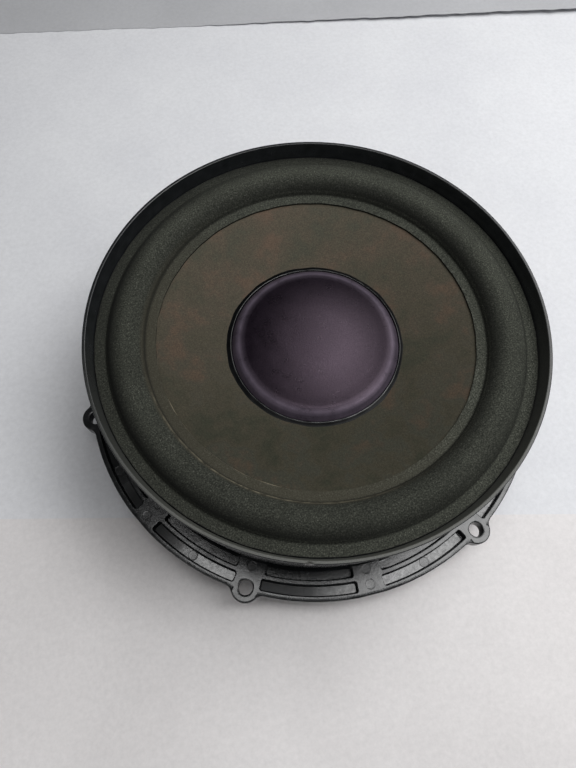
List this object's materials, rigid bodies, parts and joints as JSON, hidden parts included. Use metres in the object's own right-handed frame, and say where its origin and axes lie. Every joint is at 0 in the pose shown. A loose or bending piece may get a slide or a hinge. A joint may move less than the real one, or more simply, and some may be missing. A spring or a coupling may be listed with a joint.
{
  "type": "car door speaker",
  "caption": "Round moving-coil woofer in a deep moulded basket with a pocketed flange and mounting ears; the cone slides on its surround and spider.",
  "frame": {"origin": "centre of the circle of ear holes, on the flange's rear seating face", "axes": "+Z along the speaker's axis out of the cone, +X through one ear hole, +Y over the connector"},
  "size_m": [0.2312, 0.2214, 0.0775],
  "materials": {
    "basket_plastic": "moulded glass-filled polypropylene, black, low gloss",
    "gasket_foam": "closed-cell foam",
    "surround_foam": "heat-pressed polyurethane foam, dark grey",
    "cone_paper": "pressed paper pulp, dark olive grey, stained",
    "cap_film": "satin purple-grey film over pulp",
    "black_glue": "cured black adhesive, glossy",
    "amber_glue": "cured amber adhesive",
    "polyimide": "amber polyimide film",
    "kraft_paper": "brown kraft paper",
    "copper_wire": "enamelled copper wire",
    "spider_cloth": "resin-dipped woven cotton",
    "plated_steel": "zinc-plated steel",
    "ferrite": "ground ceramic ferrite",
    "screw_steel": "zinc-plated screw steel",
    "socket_plastic": "moulded dark grey nylon",
    "tinned_brass": "tinned brass sheet",
    "copper_braid": "braided copper tinsel over cotton"
  },
  "bodies": {
    "frame": {"basket": "basket_plastic", "mounting_gasket": "gasket_foam", "surround": "surround_foam", "spider": "spider_cloth", "top_plate": "plated_steel", "magnet": "ferrite", "back_plate": "plated_steel", "pole_piece": "plated_steel", "motor_screws": "screw_steel", "connector_housing": "socket_plastic", "terminal_positive": "tinned_brass", "terminal_negative": "tinned_brass", "lead_positive": "copper_braid", "lead_negative": "copper_braid"},
    "cone_assembly": {"cone": "cone_paper", "dust_cap": "cap_film", "dust_cap_glue": "black_glue", "neck_glue": "amber_glue", "coil_former": "polyimide", "former_collar": "kraft_paper", "voice_coil": "copper_wire", "lead_anchors": "black_glue"}
  },
  "joints": [
    {"name": "cone_travel", "type": "slide", "parent": "frame", "child": "cone_assembly", "axis": [0, 0, 1], "range_m": [-0.005, 0.005], "stiffness_N_per_m": 1500, "deforming": ["surround", "spider", "lead_positive", "lead_negative"]}
  ]
}
